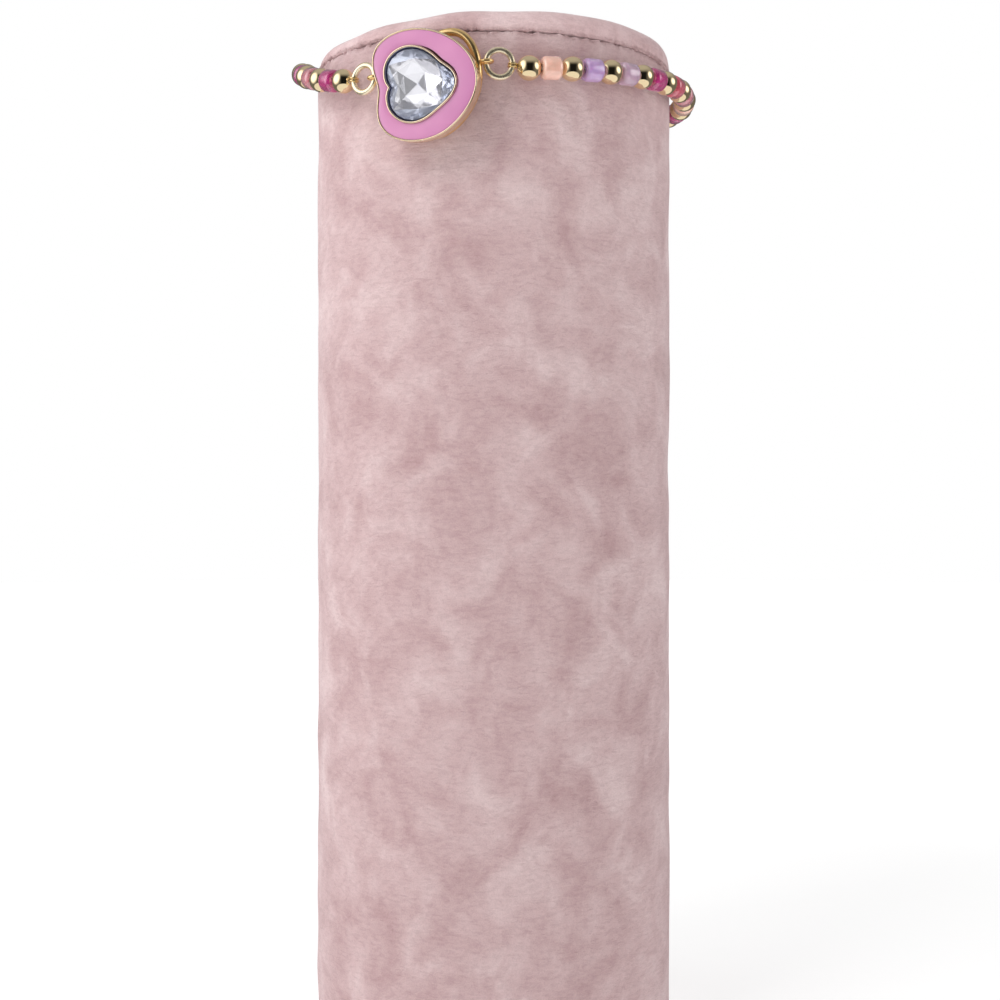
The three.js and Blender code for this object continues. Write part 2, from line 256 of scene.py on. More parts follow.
def velvet_material(name, painted_lightness):
    """Crushed velvet: pile that leans one way looks pale and the other way dark, in soft patches
    some millimetres wide, crossed by short pale strokes where the pile has been brushed level,
    over the fine grain of the tufts themselves. painted_lightness scales all its colours: 1 leaves
    them, and more is painted light, a paler copy standing for a part that catches more light."""
    material = new_material(
        name,
        {
            "Roughness": 0.95,
            "Specular IOR Level": 0.1,
            "Sheen Weight": 0.4,
            "Sheen Roughness": 0.45,
            "Sheen Tint": (1.0, 0.9, 0.92, 1),
        },
    )
    patches = object_noise(material, 0.13, detail=4, roughness=0.6, distortion=0.5)
    leans = [(0.32, (0.52, 0.35, 0.352)), (0.5, (0.62, 0.448, 0.45)), (0.68, (0.72, 0.562, 0.56))]
    stops = [(place, tuple(painted_lightness * np.array(colour))) for place, colour in leans]
    leaning = colour_ramp(material, patches, stops)
    strokes = object_noise(material, 1.5, detail=3, distortion=0.7, stretch=(0.55, 0.55, 1.5))
    shades = [(0.34, (0.88, 0.86, 0.865)), (0.52, (0.96, 0.955, 0.955)), (0.7, (1.0, 1.0, 1.0))]
    brushed = colour_ramp(material, strokes, shades)
    grain = object_noise(material, 6.0, detail=3, roughness=0.7)
    tufted = colour_ramp(material, grain, [(0.3, (0.86, 0.84, 0.845)), (0.6, (1.0, 1.0, 1.0))])
    pile = multiplied(material, leaning, brushed)
    feed(material, multiplied(material, pile, tufted), "Base Color")
    lean = bump(material, patches, 0.5 * MM, 0.4)
    ridges = bump(material, strokes, 0.16 * MM, 0.7, under=lean)
    bump(material, grain, 0.07 * MM, 0.7, under=ridges)
    return material


sleeve_top = seam_height + sleeve_over_seam
side_rows = int(round(sleeve_top / sleeve_row_step))
side_height = np.linspace(foot_rounding, sleeve_top - top_rounding, side_rows)[1:-1]
sleeve_profile = chained(
    [(0, 0), (column_radius / 2, 0)],
    arc(column_radius - foot_rounding, foot_rounding, foot_rounding, -90, 0),
    np.stack([np.full(len(side_height), column_radius), side_height], axis=-1),
    arc(column_radius - top_rounding, sleeve_top - top_rounding, top_rounding, 0, 90),
    [(column_radius - turned_in, sleeve_top), (0, sleeve_top)],
)
sleeve_angle = around(sleeve_columns)
sleeve_out, sleeve_height = sleeve_profile[:, :1], sleeve_profile[:, 1:]
on_side = np.clip(1 - (1 - sleeve_out / column_radius) / sleeve_rim, 0, 1)
# The crush draws the cloth in on the whole, so that no dent stands proud of the roll.
dents = crush_softness * crush(sleeve_angle, sleeve_height, seed=11, finest=22) - drawn_in
at_seam = np.clip((sleeve_height - seam_height) / ruffle_reach + 1, 0, 1)
edge_ruffle = seam_ruffle * on_side * at_seam * ruffle(sleeve_angle, seed=5)
sleeve_relief = crush_depth * on_side * dents + edge_ruffle
sleeve_rise = sleeve_height + ruffle_lift * edge_ruffle
velvet = velvet_material("dusty_pink_velvet", 1.0)
sleeve_grid = turned(sleeve_out + sleeve_relief, sleeve_rise, sleeve_columns)
sleeve = skin("velvet_sleeve", [velvet], (sleeve_grid, False))
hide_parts("column_sleeve")
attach(sleeve, "display")

# ---- Padded cap
# A disc of foam covered in the same velvet, sewn to the sleeve's top edge by a hidden seam. The
# pile stands up along the seam. The foam is fuller on one side and slumps on the other. The cap's
# velvet is painted paler than the sleeve's: painted light for the brighter light on the top.

seam_gap = 0.26 * MM
cap_thickness = 3.2 * MM
cap_crown = 0.4 * MM
cap_inset = 0.25 * MM
cap_belly_height = 0.6 * MM
cap_shoulder = 2.5 * MM
cap_columns = 600
crown_rows = 43
cap_rim = 1 / 4
cap_crush_depth = 0.2 * MM
cap_crush_run = 1.3
cap_smooth_middle = 11 * MM
cap_ruffle_drop = 0.7
# How much paler the cap's velvet is painted: painted light for the top, not wear.
cap_painted_lightness = 1.16
cap_slump = 0.8 * MM
cap_full_side = 80

cap_bottom = seam_height + seam_gap
cap_belly = cap_bottom + cap_belly_height
cap_top = seam_height + cap_thickness
cap_wide = column_radius - cap_inset / 2
shoulder_size = (cap_shoulder, cap_top - cap_belly)
crown_out = np.linspace(cap_wide - cap_shoulder, 0, crown_rows + 1)[1:]
crown_up = cap_top + cap_crown * (1 - (crown_out / (cap_wide - cap_shoulder)) ** 2)
cap_profile = chained(
    [(0, cap_bottom), (cap_wide / 2, cap_bottom)],
    arc(cap_wide - cap_inset, cap_belly, (cap_inset, cap_belly_height), -90, 0, 8)[:-1],
    arc(cap_wide - cap_shoulder, cap_belly, shoulder_size, 0, 90, 14),
    np.stack([crown_out, crown_up], axis=-1),
)
cap_angle = around(cap_columns)
cap_out, cap_up = cap_profile[:, :1], cap_profile[:, 1:]
risen = np.clip((cap_up - cap_bottom) / (cap_top - cap_bottom), 0, 1)
outermost = np.clip(1 - (1 - cap_out / cap_wide) / cap_rim, 0, 1)
cap_dents = crush(cap_angle, cap_up + cap_crush_run * cap_out, seed=23, finest=14) - drawn_in
cap_edge = seam_ruffle * outermost * (1 - risen) ** 3 * ruffle(cap_angle, seed=7)
slump = cap_slump * np.sin(cap_angle - np.radians(cap_full_side - 90)) * cap_out / cap_wide
cap_relief_out = cap_crush_depth * cap_dents * outermost + cap_edge
from_middle = np.clip(cap_out / cap_smooth_middle, 0, 1) ** 2
cap_relief_up = cap_crush_depth * cap_dents * from_middle * risen
cap_relief_up = cap_relief_up + slump * risen - cap_ruffle_drop * cap_edge
cap_grid = turned(cap_out + cap_relief_out, cap_up + cap_relief_up, cap_columns)
# The cap's copy of the velvet is painted paler, painted light standing for the brighter light on
# the cap.
cap = skin("velvet_cap", [velvet_material("cap_velvet_painted_lit", cap_painted_lightness)], (cap_grid, False))
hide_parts("column_cap")
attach(cap, "display")

# ---- Seam pile
# Along the seam the velvet's tufts stand out from both cut edges and cross over the joint, which
# breaks it up into a dark, hairy line. Each tuft is a slim spike.

tufts = 4200
tuft_length = 0.42 * MM
tuft_width = 0.07 * MM
tuft_spread = 0.4 * MM
cap_root_depth = 0.2 * MM
sleeve_root_depth = 0.16 * MM
tuft_sway = 0.5

draw = np.random.default_rng(seed=41)
tuft_angle = draw.uniform(0, 2 * np.pi, tufts)
from_cap = draw.random(tufts) < 0.5
tuft_outwards = np.stack([np.sin(tuft_angle), -np.cos(tuft_angle), 0 * tuft_angle], axis=-1)
tuft_around = np.stack([np.cos(tuft_angle), np.sin(tuft_angle), 0 * tuft_angle], axis=-1)
under_seam, over_seam = draw.uniform(0.1, 1.0, (2, tufts)) * tuft_spread
root_depth = np.where(from_cap, cap_root_depth, sleeve_root_depth)
root = tuft_outwards * (column_radius - root_depth)[:, None]
root[:, 2] = np.where(from_cap, cap_bottom + over_seam, seam_height - under_seam)
sideways = draw.normal(0, tuft_sway, tufts)[:, None] * tuft_around
rise = np.where(from_cap, -1, 1) * draw.uniform(0.1, 0.9, tufts)
spine = tuft_outwards * draw.uniform(0.5, 0.9, tufts)[:, None] + sideways
spine[:, 2] += rise
reach = tuft_length * draw.uniform(0.5, 1.0, tufts)[:, None]
tip = root + reach * spine / np.linalg.norm(spine, axis=-1, keepdims=True)
foot_turn = np.radians([90, 210, 330])[:, None, None]
foot = root + tuft_width / 2 * (np.cos(foot_turn) * tuft_around + np.sin(foot_turn) * [0, 0, 1])
spikes = np.stack([*foot, tip], axis=1)
corners = np.array([[0, 2, 1], [0, 1, 3], [1, 2, 3], [2, 0, 3]])
spike_faces = (4 * np.arange(tufts)[:, None, None] + corners).reshape(-1, 3)
seam_pile = mesh_piece("seam_pile", [velvet], spikes.reshape(-1, 3), spike_faces)
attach(seam_pile, "display")

# ---- Elastic
# One round stretch cord, milky beige, carries all the beads. It runs through their holes, and
# shows dimly inside the clear beads and between beads. It is drawn only as far as the end beads,
# not round the wire guards.

thread_radius = 26.5 * MM
thread_thickness = 0.7 * MM
loop_height = 128.38 * MM
# The cosine and sine parts, in millimetres, of one to four waves round the loop.
height_waves = [(-3.5, -1.62), (-0.42, 1.06), (0.07, 0.55), (0.24, -0.23)]
first_bead_turn = 9.7
last_bead_turn = 313.6
gold_beads = 26
beads = 2 * gold_beads - 1
elastic_overrun = 3.2
elastic_points = 500
thin_sides = 12


def thread_point(turn):
    """The elastic's middle at a turn: a circle round the column whose height is a sum of waves."""
    angle = np.radians(turn)
    height = loop_height + 0 * angle
    for count, (cosine, sine) in enumerate(height_waves, start=1):
        wave = cosine * np.cos(count * angle) + sine * np.sin(count * angle)
        height = height + wave * MM
    return np.stack([thread_radius * np.sin(angle), -thread_radius * np.cos(angle), height], -1)


def unit(vectors):
    """Each vector along the last axis, brought to length 1."""
    return vectors / np.linalg.norm(vectors, axis=-1, keepdims=True)


def tube(path, normal, radius, sides, closed=False):
    """A round wire along a path, (points, 3): each section is a circle across the path, begun
    from the normal there. An open wire is closed by a point at each end."""
    along = np.roll(path, -1, axis=0) - np.roll(path, 1, axis=0)
    if not closed:
        along[0] = path[1] - path[0]
        along[-1] = path[-1] - path[-2]
    along = unit(along)
    first = unit(normal - np.sum(normal * along, axis=-1, keepdims=True) * along)
    second = np.cross(along, first)
    angle = np.arange(sides) * 2 * np.pi / sides
    section = np.cos(angle)[:, None] * first[:, None] + np.sin(angle)[:, None] * second[:, None]
    grid = path[:, None] + radius * section
    if closed:
        return grid, True
    ends = [np.repeat(path[i : i + 1, None], sides, axis=1) for i in (0, len(path) - 1)]
    return chained(ends[0], grid, ends[1]), False


# The cord is slightly uneven and looks a little sticky.
milky_elastic = new_material(
    "milky_elastic", {"Base Color": (0.80, 0.66, 0.56, 1), "Roughness": 0.35, "IOR": 1.45}
)
bump(milky_elastic, object_noise(milky_elastic, 3.0), 0.03 * MM, 0.4)

elastic_ends = first_bead_turn - elastic_overrun, last_bead_turn + elastic_overrun
elastic_path = thread_point(np.linspace(*elastic_ends, elastic_points))
upwards = np.broadcast_to([0.0, 0.0, 1.0], elastic_path.shape)
elastic_tube = tube(elastic_path, upwards, thread_thickness / 2, thin_sides)
elastic = skin("elastic", [milky_elastic], elastic_tube)
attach(elastic, "display")

# ---- Gold beads
# Round hollow beads of plated brass, drilled through, every other one on the elastic. The plating
# is a pale champagne gold, polished like a mirror.

gold_diameter = 3.1 * MM
gold_hole = 0.78 * MM
tunnel_depth = 0.12 * MM
tunnel_ledge = 0.05 * MM
bead_axis_step = 0.5
bead_columns = 40


def bead_turn(i):
    """The turn of a bead, all of them evenly spaced; even beads are gold and odd ones glass."""
    return first_bead_turn + (last_bead_turn - first_bead_turn) * i / (beads - 1)


def on_thread(profile, numbers):
    """Copies of a bead at some places on the elastic. Its profile is (distance out, place along)
    round the hole, a loop, turned about the elastic's direction at each bead."""
    turns = bead_turn(np.asarray(numbers))
    before, after = thread_point(turns - bead_axis_step), thread_point(turns + bead_axis_step)
    along = unit(after - before)
    outwards = unit(np.cross(along, [0.0, 0.0, 1.0]))
    downwards = np.cross(along, outwards)
    angle = around(bead_columns)[:, None]
    out = np.cos(angle) * outwards[:, None, None] + np.sin(angle) * downwards[:, None, None]
    along_part = profile[:, 1, None, None] * along[:, None, None]
    middle = (before + after)[:, None, None] / 2
    return middle + along_part + profile[:, 0, None, None] * out


def gold_material(name, colour, roughness, metallic=1.0):
    """Polished plating: its roughness wanders a little, as handling leaves it, over the faint
    waviness of the plated base metal. Finely brushed plating is a little less metallic."""
    material = new_material(name, {"Base Color": (*colour, 1), "Metallic": metallic})
    handling = object_noise(material, 0.9, detail=4, roughness=0.6)
    handled = ranged(material, handling, (0.3, 0.75), (roughness, 2.2 * roughness))
    feed(material, handled, "Roughness")
    bump(material, object_noise(material, 1.6), 0.004 * MM, 0.5)
    return material


bead_gold = gold_material("bead_gold_plating", (0.94, 0.76, 0.47), 0.06)
hole_angle = np.degrees(np.arcsin(gold_hole / gold_diameter))
sphere_profile = arc(0, 0, gold_diameter / 2, 90 - hole_angle, hole_angle - 90, 22)[::-1]
tunnel_reach = gold_diameter / 2 * np.cos(np.radians(hole_angle)) - tunnel_depth
tunnel_out = gold_hole / 2 - tunnel_ledge
tunnel = [(tunnel_out, tunnel_reach), (tunnel_out, -tunnel_reach)]
gold_grid = on_thread(chained(sphere_profile, tunnel), np.arange(0, beads, 2))
stretches = sorted(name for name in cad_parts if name.startswith("bead_stretch"))
beads_gold = skin("gold_beads", [bead_gold], (gold_grid, True), sharp=60)
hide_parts(*stretches)
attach(beads_gold, "display")

# ---- Seed beads
# Glass seed beads, one between each two gold ones: short rounded tubes in pinks, peach and lilac,
# some of them opaque and some clear. Their colours follow no fixed order.

seed_diameter = 2.9 * MM
seed_length = 2.58 * MM
seed_hole = 0.76 * MM
seed_rounding = 0.6 * MM
hole_rounding = 0.15 * MM
seed_glasses = {
    "peach": {"colour": (0.90, 0.54, 0.43), "clear": 0.0, "milk": 0.3},
    "lilac": {"colour": (0.64, 0.40, 0.74), "clear": 0.3, "milk": 0.25},
    "pale_lilac": {"colour": (0.79, 0.54, 0.70), "clear": 0.5, "milk": 0.1},
    "magenta": {"colour": (0.70, 0.055, 0.30), "clear": 0.55, "milk": 0.0},
    "coral": {"colour": (0.80, 0.13, 0.20), "clear": 0.35, "milk": 0.05},
    "rose": {"colour": (0.84, 0.34, 0.40), "clear": 0.45, "milk": 0.1},
}
seed_places = {
    "peach": [1, 13, 27, 37],
    "lilac": [3, 17, 31, 41],
    "pale_lilac": [5, 19, 25, 35],
    "magenta": [7, 15, 23, 33, 45, 49],
    "coral": [9, 21, 29, 39],
    "rose": [11, 43, 47],
}


def glass_material(name, colour, clear, milk):
    """Pressed glass under a thin lustre, its colour wandering in faint streaks. Clear is how much
    light passes through it, and milk how much is scattered inside."""
    material = new_material(
        name,
        {
            "Roughness": 0.12,
            "IOR": 1.5,
            "Transmission Weight": clear,
            "Subsurface Weight": milk,
            "Subsurface Radius": (0.9 * MM, 0.5 * MM, 0.5 * MM),
            "Subsurface Scale": 1.0,
            "Specular IOR Level": 0.8,
            "Coat Weight": 1.0,
            "Coat IOR": 1.9,
            "Coat Roughness": 0.06,
        },
    )
    streaks = object_noise(material, 0.7, detail=3, distortion=0.8)
    pale = tuple(0.75 * channel + 0.25 for channel in colour)
    deep = tuple(0.86 * channel for channel in colour)
    tint = colour_ramp(material, streaks, [(0.35, deep), (0.55, colour), (0.8, pale)])
    feed(material, tint, "Base Color")
    return material


seed_half = seed_length / 2
seed_edge = seed_diameter / 2 - seed_rounding
hole_out = seed_hole / 2 + hole_rounding
seed_profile = chained(
    arc(seed_edge, seed_rounding - seed_half, seed_rounding, -90, 0, 7),
    arc(seed_edge, seed_half - seed_rounding, seed_rounding, 0, 90, 7),
    arc(hole_out, seed_half - hole_rounding, hole_rounding, 90, 180, 3),
    arc(hole_out, hole_rounding - seed_half, hole_rounding, 180, 270, 3),
)
for glass, look in seed_glasses.items():
    seed_grid = on_thread(seed_profile, seed_places[glass])
    finish = glass_material(f"{glass}_glass", **look)
    seeds = skin(f"seed_beads_{glass}", [finish], (seed_grid, True), sharp=60)
    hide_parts(*stretches)
    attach(seeds, "display")

# ---- Jump rings
# A ring of round plated wire joins each end of the bead run to the charm. It is bent round until
# its cut ends meet, inside the charm's eyelet, and the elastic's pull has made it a little oval.

charm_turn = -17.3
charm_radius = 26.1 * MM
charm_height = 123.1 * MM
charm_tilt = 6
frame_turn = 3
frame_lift = 0.3 * MM
eyelet_reach = 7.35 * MM
eyelet_lift = 1.7 * MM
eyelet_depth = -0.3 * MM
ring_height = 4.15 * MM
ring_wire = 0.78 * MM
ring_slit = 1.2
ring_points = 97
ring_sides = 24
guard_reach = 2.1 * MM

upright = np.array([0.0, 0.0, 1.0])
from_column = np.array([np.sin(np.radians(charm_turn)), -np.cos(np.radians(charm_turn)), 0.0])
tilt = np.radians(charm_tilt)
charm_face = from_column * np.cos(tilt) - upright * np.sin(tilt)
charm_up = upright * np.cos(tilt) + from_column * np.sin(tilt)
charm_axes = np.stack([np.cross(charm_up, charm_face), charm_up, charm_face])
charm_place = from_column * charm_radius + upright * charm_height


def on_charm(points, turn):
    """Points in the charm's own axes, right, up and out of its face, turned about the post."""
    angle = np.radians(turn)
    x = points[..., 0] * np.cos(angle) - points[..., 1] * np.sin(angle)
    y = points[..., 0] * np.sin(angle) + points[..., 1] * np.cos(angle)
    return charm_place + np.stack([x, y, points[..., 2]], axis=-1) @ charm_axes


links = {"right": {"side": 1, "bead": 0}, "left": {"side": -1, "bead": beads - 1}}
for row in links.values():
    in_frame = np.array([row["side"] * eyelet_reach, eyelet_lift + frame_lift, eyelet_depth])
    row["eyelet"] = on_charm(in_frame, frame_turn)
    row["bead_centre"] = thread_point(bead_turn(row["bead"]))
    row["along"] = unit(row["bead_centre"] - row["eyelet"])
    row["face"] = unit(np.cross(upright, row["along"]))
    row["up"] = np.cross(row["face"], row["along"])
    row["guard_centre"] = row["bead_centre"] - guard_reach * row["along"]

ring_gold = gold_material("ring_gold_plating", (0.99, 0.86, 0.62), 0.16, 0.9)
ring_angle = np.radians(np.linspace(180 + ring_slit, 540 - ring_slit, ring_points))[:, None]
for name, row in links.items():
    ring_long = np.linalg.norm(row["guard_centre"] - row["eyelet"]) / 2
    ring_centre = (row["guard_centre"] + row["eyelet"]) / 2
    outwards = np.cos(ring_angle) * row["along"] + np.sin(ring_angle) * row["up"]
    path = ring_centre + ring_long * np.cos(ring_angle) * row["along"]
    path = path + (ring_height - ring_wire) / 2 * np.sin(ring_angle) * row["up"]
    ring_tube = tube(path, outwards, ring_wire / 2, ring_sides)
    ring = skin(f"ring_{name}", [ring_gold], ring_tube, sharp=50)
    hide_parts(f"jump_ring_{name}")
    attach(ring, "display")

# ---- Wire guards
# Where the elastic turns round a jump ring it runs inside a guard, two turns of gilt tube that
# keep the ring from cutting it. The guard's two ends go straight into the last bead.

guard_radius = 0.51 * MM
guard_wire = 0.26 * MM
guard_spread = 0.32 * MM
guard_tail_end = 1.3 * MM
guard_points = 48

guard_gold = gold_material("guard_gold_plating", (0.90, 0.68, 0.34), 0.06)
guard_angle = around(guard_points)[:, None]
for name, row in links.items():
    outwards = np.cos(guard_angle) * row["along"] + np.sin(guard_angle) * row["face"]
    shells = []
    for side in (-0.5, 0.5):
        middle = row["guard_centre"] + side * guard_spread * row["up"]
        loop = middle + guard_radius * outwards
        shells.append(tube(loop, outwards, guard_wire / 2, thin_sides, closed=True))
        tail_start = middle + guard_radius * row["along"]
        tail_stop = row["bead_centre"] - guard_tail_end * row["along"]
        tail = tail_start + np.linspace(0, 1, 4)[:, None] * (tail_stop - tail_start)
        shells.append(tube(tail, row["up"], guard_wire / 2, thin_sides))
    guard = skin(f"guard_{name}", [guard_gold], *shells, sharp=60)
    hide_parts(f"cord_guard_{name}")
    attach(guard, "display")

# ---- Spinner frame
# The fixed part of the charm is one gilt casting behind the heart: an open heart-shaped band, a
# bar across it with the hub that the heart's post turns in, and an eyelet at each side.

frame_heart = {
    "across": [6.98, 0, 0, -0.17],
    "along": [6.94, -0.33, -0.3, -0.4],
    "lift": 0.36,
    "dip": 0.28,
    "dip_width": 0.26,
    "press": 0,
    "press_angle": 0,
    "press_width": 1,
}
heart_columns = 192
frame_scale = 0.98
frame_thickness = 1.2 * MM
frame_band = 1.0 * MM
frame_rounding = 0.46 * MM
bar_width = 1.5 * MM
bar_thickness = 0.8 * MM
bar_rounding = 0.2 * MM
hub_diameter = 3.6 * MM
hub_rise = 0.25 * MM
hub_hole = 1.64 * MM
hub_rounding = 0.12 * MM
eyelet_radius = 0.74 * MM
eyelet_wire = 0.52 * MM
eyelet_points = 48
eyelet_sides = 16


def heart(shape, grow=0.0, scale=1.0):
    """A heart's outline, notch up, (columns, 2), anticlockwise from the notch. With a the angle
    from the notch, x is the sum of across_k sin(k a), and y the sum of along_k cos(k a), less a
    bell-shaped dip at the notch. Round press_angle both shrink by a bell-shaped share. Then y
    gains lift, and grow moves the outline out along its own normal. Where the two sides would
    cross at the notch they meet in a point."""
    a = -around(heart_columns)
    k = np.arange(1, 5)
    near = np.arctan2(np.sin(a), np.cos(a))
    dip = shape["dip"] * np.exp(-((near / shape["dip_width"]) ** 2))
    away = 2 * (1 - np.cos(a - shape["press_angle"])) / shape["press_width"] ** 2
    share = 1 - shape["press"] * np.exp(-away)
    x = share * (np.sin(k * a[:, None]) @ np.array(shape["across"]))
    y = share * (np.cos(k * a[:, None]) @ np.array(shape["along"]) - dip) + shape["lift"]
    outline = np.stack([x, y], axis=-1) * MM * scale
    along = np.roll(outline, -1, axis=0) - np.roll(outline, 1, axis=0)
    outline = outline + grow * unit(np.stack([along[:, 1], -along[:, 0]], axis=-1))
    outline[0, 0] = 0
    half = heart_columns // 2
    left = -outline[:half, 0]
    crossed = np.nonzero(left <= 1e-6 * MM)[0].max()
    share = -left[crossed] / (left[crossed + 1] - left[crossed])
    meet = outline[crossed, 1] + share * (outline[crossed + 1, 1] - outline[crossed, 1])
    outline[: crossed + 1] = outline[heart_columns - crossed :] = (0, meet)
    return outline


def raised(outline, height):
    """An outline, (columns, 2), at a height: one row of a grid."""
    return np.concatenate([outline, np.full((len(outline), 1), height)], axis=1)


def ring_outline(radius):
    """A circle as an outline whose columns match the heart's."""
    a = -around(heart_columns)
    return radius * np.stack([np.sin(a), np.cos(a)], axis=-1)


def carried(shape, profile, scale=1.0):
    """A profile of (distance out, height) carried round a heart: rows of a grid."""
    return np.stack([raised(heart(shape, out, scale), height) for out, height in profile])


def rounded_box(inner, outer, bottom, top, rounding):
    """A loop of profile points round a box with round corners, up its outer side first."""
    high, low = top - rounding, bottom + rounding
    far, near = outer - rounding, inner + rounding
    corners = [(far, low, -90), (far, high, 0), (near, high, 90), (near, low, 180)]
    return chained(*[arc(out, up, rounding, a, a + 90) for out, up, a in corners])


def bar_grid(start, stop, width, bottom, top, rounding):
    """A straight bar along X, from start to stop, with a rounded section, closed by a point at
    each end."""
    section = rounded_box(-width / 2, width / 2, bottom, top, rounding)[::-1]
    grid = np.empty((2, len(section), 3))
    grid[..., 0] = np.array([start, stop])[:, None]
    grid[..., 1:] = section
    ends = grid.mean(axis=1, keepdims=True).repeat(len(section), axis=1)
    return chained(ends[:1], grid, ends[1:])


frame_gold = gold_material("frame_gold_plating", (0.98, 0.68, 0.32), 0.14, 0.94)
frame_front = frame_thickness / 2
band_profile = rounded_box(-frame_band, 0, -frame_front, frame_front, frame_rounding)
band = carried(frame_heart, band_profile, frame_scale) + [0, frame_lift, 0]
bar_start = (hub_hole + hub_diameter) / 4
bar_stop = frame_heart["across"][0] * MM * frame_scale - frame_band / 2
bar_section = [bar_width, -frame_front, bar_thickness - frame_front, bar_rounding]
right_bar = bar_grid(bar_start, bar_stop, *bar_section)
left_bar = bar_grid(-bar_stop, -bar_start, *bar_section)
hub_front = frame_front + hub_rise
hub_profile = rounded_box(hub_hole / 2, hub_diameter / 2, -frame_front, hub_front, hub_rounding)
hub = np.stack([raised(ring_outline(out), height) for out, height in hub_profile])
frame_shells = [(band, True), (left_bar, False), (right_bar, False), (hub, True)]
eyelet_angle = around(eyelet_points)[:, None]
eyelet_out = np.sin(eyelet_angle) * [1, 0, 0] + np.cos(eyelet_angle) * [0, 0, 1]
for side in (-1, 1):
    centre = [side * eyelet_reach, eyelet_lift + frame_lift, eyelet_depth]
    path = centre + eyelet_radius * eyelet_out
    frame_shells.append(tube(path, eyelet_out, eyelet_wire / 2, eyelet_sides, closed=True))
placed_shells = [(on_charm(grid, frame_turn), wrap) for grid, wrap in frame_shells]
spinner_frame = skin("charm_frame", [frame_gold], *placed_shells)
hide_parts("spinner_frame")
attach(spinner_frame, "display")

# ---- Heart setting
# The part that spins is a cast and gilt tray in the shape of a heart. It has a thin raised rim, a
# bezel round the stone's pocket and a post behind, whose end is riveted over a washer.

heart_rest_turn = 94
tray_heart = {
    **frame_heart,
    "across": [6.92, 0, 0, -0.17],
    "press": 0.043,
    "press_angle": 1.8,
    "press_width": 0.7,
}
stone_heart = {
    "across": [4.06, -0.05, -0.16, -0.22],
    "along": [4.32, -0.42, -0.07, -0.3],
    "lift": 0.87,
    "dip": 0.3,
    "dip_width": 0.2,
    "press": 0.13,
    "press_angle": 2.64,
    "press_width": 0.38,
}
tray_back = 1.0 * MM
tray_floor = 1.9 * MM
pocket_floor = 1.6 * MM
rim_top = 2.8 * MM
bezel_top = 3.0 * MM
rim_width = 0.24 * MM
bezel_width = 0.38 * MM
stone_gap = 0.08 * MM
post_radius = 0.725 * MM
post_end = -1.1 * MM
post_chamfer = 0.1 * MM
post_flare = 0.2 * MM
rim_rounding = 0.12 * MM
back_rounding = 0.25 * MM
back_flat = 2 * MM
bezel_rounding = 0.11 * MM
pocket_gap = 0.19 * MM
shrunk_middle = 0.61
shrunk_width = 0.1
groove_width = 0.105


def painted_shade_material(name, colour):
    """Painted shade at the bottom of a narrow gap: a flat dark colour standing for the shadow
    there.
    """
    material = new_material(name, {"Base Color": (*colour, 1), "Roughness": 0.3})
    bump(material, object_noise(material, 2.0), 0.05 * MM, 0.6)
    return material


setting_gold = gold_material("setting_gold_plating", (1.0, 0.81, 0.58), 0.14)
post_profile = [
    (0, post_end),
    (post_radius - post_chamfer, post_end),
    (post_radius, post_end + post_chamfer),
    (post_radius, tray_back - post_flare),
    (post_radius + post_flare, tray_back),
]
post_rows = np.stack([raised(ring_outline(out), height) for out, height in post_profile])
tray_profile = chained(
    [(-back_flat, tray_back)],
    arc(-back_rounding, tray_back + back_rounding, back_rounding, -90, 0),
    arc(-rim_rounding, rim_top - rim_rounding, rim_rounding, 0, 90),
    arc(rim_rounding - rim_width, rim_top - rim_rounding, rim_rounding, 90, 180),
    [(-rim_width, tray_floor)],
)
bezel_outer = stone_gap + bezel_width
bezel_round_at = bezel_top - bezel_rounding
bezel_profile = chained(
    [(bezel_outer, tray_floor)],
    arc(bezel_outer - bezel_rounding, bezel_round_at, bezel_rounding, 0, 90),
    arc(pocket_gap + bezel_rounding, bezel_round_at, bezel_rounding, 90, 180),
    [(pocket_gap, pocket_floor)],
)
stone_middle = np.array([0, stone_heart["lift"] * MM])
pocket_middle = raised(np.broadcast_to(stone_middle, (heart_columns, 2)), pocket_floor)
setting_grid = chained(
    post_rows,
    carried(tray_heart, tray_profile),
    carried(stone_heart, bezel_profile),
    pocket_middle[None],
)
round_stone = np.arange(heart_columns) / heart_columns
in_groove = np.abs(round_stone - shrunk_middle) < groove_width
bezel_foot = len(post_rows) + len(tray_profile)
setting_finish = np.zeros((len(setting_grid) - 1, heart_columns))
# Along the groove, the tray floor and the bezel's foot take painted shade, a dark red-brown
# standing for the shadow in the groove.
setting_finish[bezel_foot - 1 : bezel_foot + 1] = np.where(in_groove, 2, 0)
# The pocket's floor and inner wall take painted shade, a dark navy standing for the shadow between
# stone and bezel.
setting_finish[-2:] = 1
stone_gap_painted_shade = painted_shade_material("stone_gap_painted_shade", (0.13, 0.14, 0.27))
groove_painted_shade = painted_shade_material("groove_painted_shade", (0.12, 0.03, 0.02))
setting = skin(
    "heart_tray",
    [setting_gold, stone_gap_painted_shade, groove_painted_shade],
    (on_charm(setting_grid, heart_rest_turn), False),
    finish=setting_finish.ravel(),
)
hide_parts("heart_setting")
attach(setting, "spinner")

# ---- Rivet washer
# A plain gilt washer on the post's end, behind the frame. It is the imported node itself.

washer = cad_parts["pivot_washer"]
washer.data.materials.clear()
washer.data.materials.append(frame_gold)

# ---- Enamel
# Orchid pink enamel, poured into the tray between rim and bezel. It sets with a slight dome, and
# has shrunk from the bezel along one side of the stone's tip, which leaves a groove; the tray
# floor in the groove is painted dark, painted shade for the shadow there.

enamel_gap = 0.02 * MM
enamel_edge = 2.7 * MM
shrunk_gap = 0.22 * MM
enamel_dome = 0.04 * MM
dome_fullness = 2.4
enamel_rows = 18

